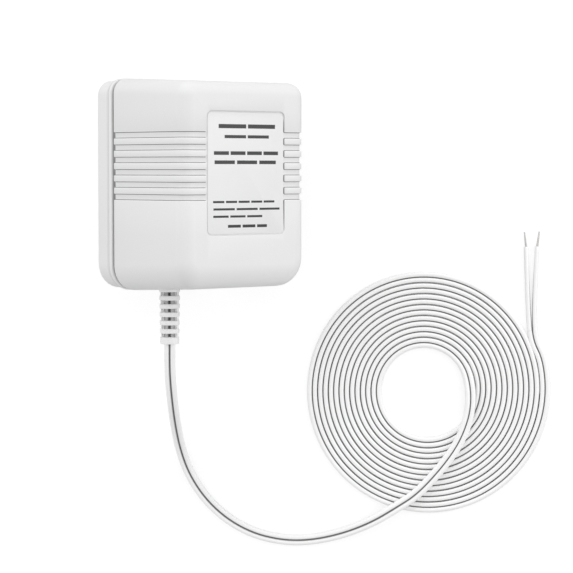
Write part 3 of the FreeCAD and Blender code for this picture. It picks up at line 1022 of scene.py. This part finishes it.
def make_wire_tip(letter, side, spread, material):
    """The bare end of one wire: a twist of fine strands round a straight one."""
    _, bend, start = wire_points(side, spread)
    lean = Matrix.Rotation(-side * math.radians(bare_lean_degrees), 3, "Z")
    heading = lean @ (start - bend).normalized()
    across = heading.cross(z_axis)
    strand = bare_radius / strands_across
    ring_radius = bare_radius - strand
    strands = []
    for number in range(strand_count):
        path = []
        for step in range(strand_points):
            share = step / (strand_points - 1)
            turn = math.radians(strand_turn_degrees * number + strand_twist_degrees * share)
            spread_out = ring_radius * (1 - strand_taper * share) if number else 0.0
            offset = across * math.cos(turn) + z_axis * math.sin(turn)
            path.append(start + heading * (bare_length * share) + offset * spread_out)
        strands.append(tube("strand", path, round_section(strand, strand_sides)))
    hold(strands[0])
    for piece in strands:
        piece.select_set(True)
    bpy.ops.object.join()
    tip = bpy.context.object
    tip.name = "bare_strands_" + letter
    return finish_piece(tip, material, ["wire_tip_" + letter])


# Finishes

class Value:
    """An output of a finish's nodes, so that shader maths reads as sums."""

    def __init__(self, finish, socket):
        self.finish = finish
        self.socket = socket

    def maths(self, operation, *values):
        return self.finish.node("ShaderNodeMath", {"operation": operation}, dict(enumerate(values)))

    def __add__(self, other):
        return self.maths("ADD", self, other)

    def __radd__(self, other):
        return self.maths("ADD", other, self)

    def __sub__(self, other):
        return self.maths("SUBTRACT", self, other)

    def __mul__(self, other):
        return self.maths("MULTIPLY", self, other)

    def __rmul__(self, other):
        return self.maths("MULTIPLY", other, self)

    def __gt__(self, other):
        return self.maths("GREATER_THAN", self, other)

    def __lt__(self, other):
        return self.maths("LESS_THAN", self, other)

    def fraction(self):
        return self.maths("FRACT", self)

    def sine(self):
        return self.maths("SINE", self)

    def least(self, other):
        return self.maths("MINIMUM", self, other)

    def most(self, other):
        return self.maths("MAXIMUM", self, other)


class Finish:
    """A node material on one principled surface."""

    def __init__(self, name, roughness, metallic=0.0):
        self.material = bpy.data.materials.new(name)
        self.material.use_nodes = True
        self.tree = self.material.node_tree
        self.surface = self.tree.nodes["Principled BSDF"]
        self.surface.inputs["Roughness"].default_value = roughness
        self.surface.inputs["Metallic"].default_value = metallic

    def node(self, kind, settings, inputs, output=0):
        """Adds a node: its settings are set first, then the values or links of its sockets."""
        made = self.tree.nodes.new(kind)
        for name, value in settings.items():
            if name == "stops":
                self.set_stops(made.color_ramp, value)
            else:
                setattr(made, name, value)
        for name, value in inputs.items():
            self.put(made.inputs[name], value)
        return Value(self, made.outputs[output])

    def set_stops(self, ramp, stops):
        """Sets a colour ramp's places and colours."""
        while len(ramp.elements) < len(stops):
            ramp.elements.new(1.0)
        for element, (position, colour) in zip(ramp.elements, stops):
            element.position = position
            element.color = with_alpha(colour)

    def put(self, socket, value):
        """Sets a socket, or links it."""
        if isinstance(value, Value):
            self.tree.links.new(value.socket, socket)
        else:
            socket.default_value = value

    def feed(self, name, value):
        """Feeds one socket of the surface."""
        self.put(self.surface.inputs[name], value)

    def place(self):
        """Where a point lies on its object."""
        return self.node("ShaderNodeTexCoord", {}, {}, "Object")

    def attribute(self, name):
        """A value that the mesh keeps."""
        return self.node("ShaderNodeAttribute", {"attribute_name": name}, {}, "Fac")

    def ray(self, kind):
        """Whether a ray is of one kind."""
        return self.node("ShaderNodeLightPath", {}, {}, kind)

    def noise(self, scale, detail=2.0):
        """Soft patches, or grain at a large scale."""
        inputs = {"Vector": self.place(), "Scale": scale, "Detail": detail}
        return self.node("ShaderNodeTexNoise", {}, inputs)

    def blend(self, share, first, second):
        """Two colours mixed by a share of the second."""
        inputs = {mix_share: share, mix_first: with_alpha(first), mix_second: with_alpha(second)}
        return self.node("ShaderNodeMix", {"data_type": "RGBA"}, inputs, mix_result)

    def bump(self, height, distance, strength):
        """Fine relief."""
        inputs = {"Height": height, "Distance": distance, "Strength": strength}
        self.feed("Normal", self.node("ShaderNodeBump", {}, inputs))


def grey(level):
    """A neutral colour."""
    return (level, level, level)


def with_alpha(colour):
    """A colour as its socket takes it."""
    return colour if isinstance(colour, Value) else (*colour, 1)


def satin(name, colour, darker, roughness, grain_scale, grain):
    """A fine satin moulding with slightly uneven gloss, and its slightly uneven colour."""
    finish = Finish(name, roughness)
    patches = finish.noise(patch_scale)
    finish.feed("Roughness", roughness + gloss_spread * (patches - 0.5))
    finish.bump(finish.noise(grain_scale, grain_detail), grain, grain_strength)
    return finish, finish.blend(patches, colour, darker)


def moulded_plastic(name, colour, darker, roughness, grain_scale, grain):
    """A plain satin moulding."""
    finish, uneven = satin(name, colour, darker, roughness, grain_scale, grain)
    finish.feed("Base Color", uneven)
    return finish.material


def housing_plastic():
    """White satin moulding, with painted shade along its hollow edges and down in the joint, and a painted
    highlight along its ridges.
    """
    finish, unshaded_colour = satin(
        "housing moulding",
        grey(0.83),
        grey(0.81),
        roughness=0.55,
        grain_scale=2600,
        grain=0.012 * mm,
    )
    shade = finish.attribute("shade")
    # Painted highlight on the ridges and painted shade in the hollows and the joint, both read from the
    # shade attribute
    on_ridge = (ridge_gain * shade).most(0.0).least(1.0)
    in_hollow = (hollow_gain * shade).most(0.0).least(hollow_most)
    with_painted_highlight = finish.blend(on_ridge, unshaded_colour, grey(0.96))
    finish.feed("Base Color", finish.blend(in_hollow, with_painted_highlight, grey(0.08)))
    return finish.material


def cord_plastic():
    """Smooth white insulation, with painted shade in its groove and in the gaps between turns."""
    finish = Finish("cord insulation", roughness=0.42)
    # The gap attribute paints shade: the higher it is, the darker the insulation
    stops = [(0.12, grey(0.985)), (0.82, grey(0.09))]
    shade = finish.node("ShaderNodeValToRGB", {"stops": stops}, {"Fac": finish.attribute("gap")})
    finish.feed("Base Color", shade)
    finish.feed("Roughness", 0.4 + 0.12 * finish.noise(scale=220))
    finish.bump(finish.noise(scale=1800), distance=0.02 * mm, strength=0.3)
    return finish.material


def label_print():
    """A matt label with rows of plain bars in place of words."""
    finish = Finish("label print", roughness=0.5)
    face = finish.node("ShaderNodeUVMap", {"uv_map": "label_face"}, {})
    across = finish.node("ShaderNodeSeparateXYZ", {}, {"Vector": face}, "X")
    up = finish.node("ShaderNodeSeparateXYZ", {}, {"Vector": face}, "Y")
    ink = None
    for height, thickness, start, end, words, gap in label_rows:
        row = (up > height - thickness / 2) * (up < height + thickness / 2)
        bar = row * (across > start) * (across < end)
        word = ((across - start) * words).fraction() > gap
        ink = bar * word if ink is None else ink + bar * word
    paper = finish.blend(finish.noise(scale=90), grey(0.84), grey(0.81))
    finish.feed("Base Color", finish.blend(ink, paper, grey(0.03)))
    finish.bump(finish.noise(scale=1500), distance=0.01 * mm, strength=0.3)
    return finish.material


def plated_metal(name, colour, darker, roughness, streak):
    """Bright plated metal with fine drawn streaks."""
    finish = Finish(name, roughness, metallic=1.0)
    stretched = finish.node("ShaderNodeMapping", {}, {"Vector": finish.place(), "Scale": streak})
    inputs = {"Vector": stretched, "Scale": 1.0, "Detail": grain_detail}
    streaks = finish.node("ShaderNodeTexNoise", {}, inputs)
    finish.feed("Base Color", finish.blend(streaks, colour, darker))
    finish.feed("Roughness", roughness + streak_gloss_spread * (streaks - 0.5))
    finish.bump(streaks, distance=0.01 * mm, strength=0.3)
    return finish.material


def layered(name, colour, line, spacing, direction, roughness, metallic):
    """Thin layers or turns side by side, with dark lines between them."""
    finish = Finish(name, roughness, metallic)
    along = finish.node(
        "ShaderNodeVectorMath",
        {"operation": "DOT_PRODUCT"},
        {0: finish.place(), 1: tuple(direction)},
        "Value",
    )
    ripple = (along * (2 * math.pi / spacing)).sine()
    height = 0.5 + 0.5 * ripple
    finish.feed("Base Color", finish.blend(height, line, colour))
    finish.bump(height, distance=spacing / 4, strength=0.4)
    return finish.material


def make_finishes():
    """Every finish by the name of the record's slot that it dresses."""
    return {
        "housing": housing_plastic(),
        "label": label_print(),
        "blade": plated_metal(
            "blade plating",
            (0.78, 0.75, 0.68),
            (0.66, 0.63, 0.56),
            roughness=0.28,
            streak=(400, 4000, 400),
        ),
        "core": layered(
            "core laminations",
            (0.33, 0.34, 0.36),
            grey(0.1),
            spacing=0.5 * mm,
            direction=housing_out,
            roughness=0.5,
            metallic=0.7,
        ),
        "bobbin": moulded_plastic(
            "bobbin moulding",
            (0.72, 0.71, 0.67),
            (0.68, 0.67, 0.63),
            roughness=0.5,
            grain_scale=900,
            grain=0.02 * mm,
        ),
        "copper": layered(
            "winding turns",
            (0.72, 0.36, 0.17),
            (0.3, 0.12, 0.05),
            spacing=0.4 * mm,
            direction=housing_across,
            roughness=0.35,
            metallic=0.9,
        ),
        "tape": moulded_plastic(
            "tape film",
            (0.85, 0.7, 0.18),
            (0.8, 0.64, 0.14),
            roughness=0.25,
            grain_scale=300,
            grain=0.01 * mm,
        ),
        "tinned_pin": plated_metal(
            "tinned pins",
            grey(0.72),
            grey(0.6),
            roughness=0.35,
            streak=(900, 900, 900),
        ),
        "inner_wire": moulded_plastic(
            "inner wire insulation",
            grey(0.8),
            grey(0.76),
            roughness=0.4,
            grain_scale=700,
            grain=0.01 * mm,
        ),
        "sleeve": moulded_plastic(
            "sleeve moulding",
            grey(0.98),
            grey(0.97),
            roughness=0.55,
            grain_scale=2200,
            grain=0.012 * mm,
        ),
        "cord": cord_plastic(),
        "bare_wire": plated_metal(
            "bare strands",
            (0.7, 0.69, 0.68),
            (0.56, 0.55, 0.54),
            roughness=0.4,
            streak=(1500, 1500, 1500),
        ),
    }


# Scene

def make_camera():
    """The camera, almost straight above the table."""
    data = bpy.data.cameras.new("camera")
    data.lens = camera_lens
    data.sensor_width = camera_sensor
    camera = put_in_scene("camera", data)
    forward = (camera_aim - camera_place).normalized()
    right = forward.cross(y_axis).normalized()
    turn = Matrix((right, right.cross(forward), -forward)).transposed().to_4x4()
    camera.matrix_world = Matrix.Translation(camera_place) @ turn
    bpy.context.scene.camera = camera


def make_light(name, place, power):
    """A square soft light that faces the middle of the object."""
    data = bpy.data.lights.new(name, "AREA")
    data.size = light_size
    data.energy = power
    light = put_in_scene(name, data)
    light.location = place
    light.rotation_euler = (camera_aim - Vector(place)).to_track_quat("-Z", "Y").to_euler()


def make_world():
    """Even light from all around, seen as white."""
    world = bpy.data.worlds.new("studio")
    bpy.context.scene.world = world
    world.use_nodes = True
    background = world.node_tree.nodes["Background"]
    background.inputs["Color"].default_value = white
    background.inputs["Strength"].default_value = world_light


def make_table():
    """A white table that keeps a soft shadow."""
    table = primitive("table", bpy.ops.mesh.primitive_plane_add, size=table_size)
    finish = Finish("table white", table_roughness)
    finish.feed("Base Color", with_alpha(grey(table_white)))
    finish.feed("Emission Color", white)
    seen = finish.ray("Is Camera Ray")
    mirrored = finish.ray("Is Glossy Ray")
    through = finish.ray("Is Transmission Ray")
    finish.feed("Emission Strength", seen.most(mirrored).most(through) * table_glow)
    table.data.materials.append(finish.material)


finishes = make_finishes()
for row in frame["record"]["subparts"]:
    solid = nodes[row["node"]]
    solid.data.materials.clear()
    solid.data.materials.append(finishes[row["material_slot"]])

make_front_shell(finishes["housing"])
make_rear_cover(finishes["housing"])
make_label(finishes["label"])
make_blade(-1, "plug_blade_line", "blade_line", finishes["blade"])
make_blade(1, "plug_blade_neutral", "blade_neutral", finishes["blade"])
make_strain_relief(finishes["sleeve"])
for letter, side, spread in (("a", -1, split_spread_a), ("b", 1, split_spread_b)):
    make_wire_end(letter, side, spread, finishes["cord"])
    make_wire_tip(letter, side, spread, finishes["bare_wire"])
make_cord(finishes["cord"])

make_camera()
make_world()
for name, (place, power) in lights.items():
    make_light(name, place, power)
make_table()
bpy.context.scene.view_settings.view_transform = "Standard"
